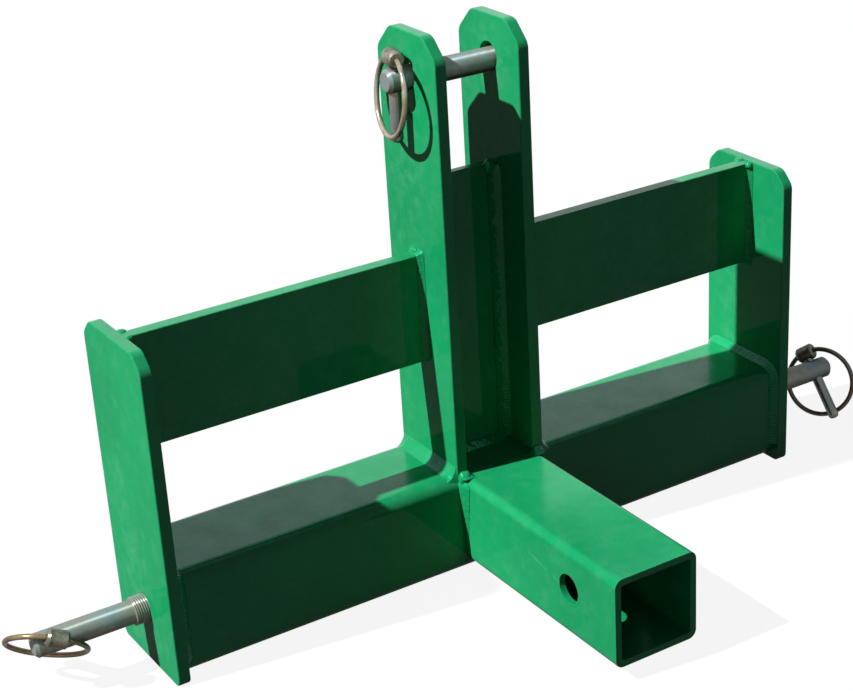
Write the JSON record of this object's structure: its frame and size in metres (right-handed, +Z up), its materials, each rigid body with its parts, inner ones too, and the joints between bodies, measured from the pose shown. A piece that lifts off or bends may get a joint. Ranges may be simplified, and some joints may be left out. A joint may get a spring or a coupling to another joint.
{
  "type": "three-point drawbar",
  "caption": "Painted steel drawbar for a small tractor's three-point hitch, with a square receiver tube, an upright mast and hitch pins with linch pins.",
  "frame": {"origin": "middle of the common axis of the two lower hitch pins", "axes": "+X along the lower hitch pins towards the right-hand pin as seen from the receiver's mouth, -Y along the receiver tube towards its mouth, +Z up the mast"},
  "size_m": [0.6761, 0.2473, 0.3763],
  "materials": {
    "green_paint": "gloss",
    "zinc": "satin"
  },
  "bodies": {
    "frame": {"cross_tube": "green_paint", "receiver_tube": "green_paint", "mast_web_plate": "green_paint", "left_end_plate": "green_paint", "left_mast_plate": "green_paint", "left_crossbar": "green_paint", "right_end_plate": "green_paint", "right_mast_plate": "green_paint", "right_crossbar": "green_paint", "web_weld": "green_paint", "receiver_top_weld": "green_paint", "left_end_plate_weld": "green_paint", "left_bar_mast_weld": "green_paint", "left_bar_plate_weld": "green_paint", "left_mast_weld": "green_paint", "left_receiver_weld": "green_paint", "right_end_plate_weld": "green_paint", "right_bar_mast_weld": "green_paint", "right_bar_plate_weld": "green_paint", "right_mast_weld": "green_paint", "right_receiver_weld": "green_paint", "left_lower_pin": "zinc", "left_pin_nut": "zinc", "right_lower_pin": "zinc", "right_pin_nut": "zinc"},
    "top_pin": {"top_link_pin": "zinc"},
    "left_linch": {"left_linch_pin": "zinc"},
    "left_ring": {"left_linch_ring": "zinc"},
    "right_linch": {"right_linch_pin": "zinc"},
    "right_ring": {"right_linch_ring": "zinc"},
    "top_linch": {"top_linch_pin": "zinc"},
    "top_ring": {"top_linch_ring": "zinc"}
  },
  "joints": [
    {"name": "top_pin_turn", "type": "hinge", "parent": "frame", "child": "top_pin", "pos_m": [0, 0, 0.30605], "axis": [1, 0, 0], "continuous": true},
    {"name": "left_linch_pull", "type": "slide", "parent": "frame", "child": "left_linch", "axis": [0, -0.8572, 0.515], "range_m": [0, 0.02]},
    {"name": "left_ring_swing", "type": "hinge", "parent": "left_linch", "child": "left_ring", "pos_m": [-0.316, -0.01222, 0.00734], "axis": [-0.891, 0.2338, 0.3891], "range_deg": [0, 170]},
    {"name": "right_linch_pull", "type": "slide", "parent": "frame", "child": "right_linch", "axis": [0, 0.6334, 0.7738], "range_m": [0, 0.02]},
    {"name": "right_ring_swing", "type": "hinge", "parent": "right_linch", "child": "right_ring", "pos_m": [0.316, 0.00903, 0.01103], "axis": [0.5299, -0.6563, 0.5371], "range_deg": [0, 170]},
    {"name": "top_linch_pull", "type": "slide", "parent": "top_pin", "child": "top_linch", "axis": [0, -0.0122, 0.9999], "range_m": [0, 0.02]},
    {"name": "top_ring_swing", "type": "hinge", "parent": "top_linch", "child": "top_ring", "pos_m": [-0.044, -0.00017, 0.3203], "axis": [0.1908, 0.9816, 0.012], "range_deg": [0, 170]}
  ]
}
